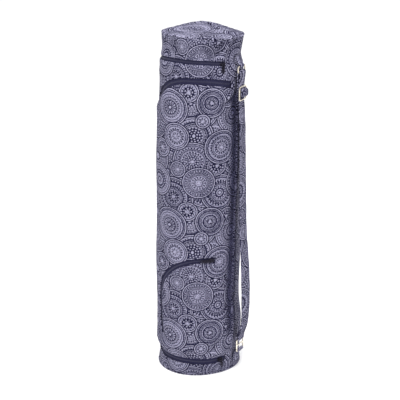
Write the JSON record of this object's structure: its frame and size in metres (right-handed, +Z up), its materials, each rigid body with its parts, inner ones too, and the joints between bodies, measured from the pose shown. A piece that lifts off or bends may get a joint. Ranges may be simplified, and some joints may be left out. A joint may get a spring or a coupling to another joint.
{
  "type": "yoga mat bag",
  "caption": "Tall soft tube for a rolled yoga mat, with a zipped round lid, a zipped front door with a zipped pocket, and an adjustable shoulder strap down one side.",
  "frame": {"origin": "middle of the base disc on the surface the bag stands on", "axes": "+Z up along the tube, -Y towards the zipped door, +X towards the shoulder strap"},
  "size_m": [0.188, 0.169, 0.682],
  "materials": {
    "canvas_print": "matte cotton canvas with a printed rosette pattern",
    "zip_tape": "matte woven tape",
    "zip_teeth": "satin nylon coil",
    "zip_metal": "dull plated zinc",
    "strap_metal": "pale champagne plated zinc"
  },
  "bodies": {
    "root": {"base_disc": "canvas_print", "body_wall": "canvas_print", "door_panel": "canvas_print", "lid_wall": "canvas_print", "lid_disc": "canvas_print", "side_seam": "canvas_print", "lid_zip_tape": "zip_tape", "lid_zip_teeth": "zip_teeth", "door_zip_tape": "zip_tape", "door_zip_teeth": "zip_teeth", "pocket_zip_tape": "zip_tape", "pocket_zip_teeth": "zip_teeth", "lid_zip_slider": "zip_metal", "lid_zip_puller": "zip_metal", "door_zip_slider": "zip_metal", "door_zip_puller": "zip_metal", "pocket_zip_slider": "zip_metal", "pocket_zip_puller": "zip_metal", "strap": "canvas_print", "tab_upper": "canvas_print", "tab_lower": "canvas_print", "strap_slider": "strap_metal", "ring_upper": "strap_metal", "ring_lower": "strap_metal"}
  },
  "joints": []
}
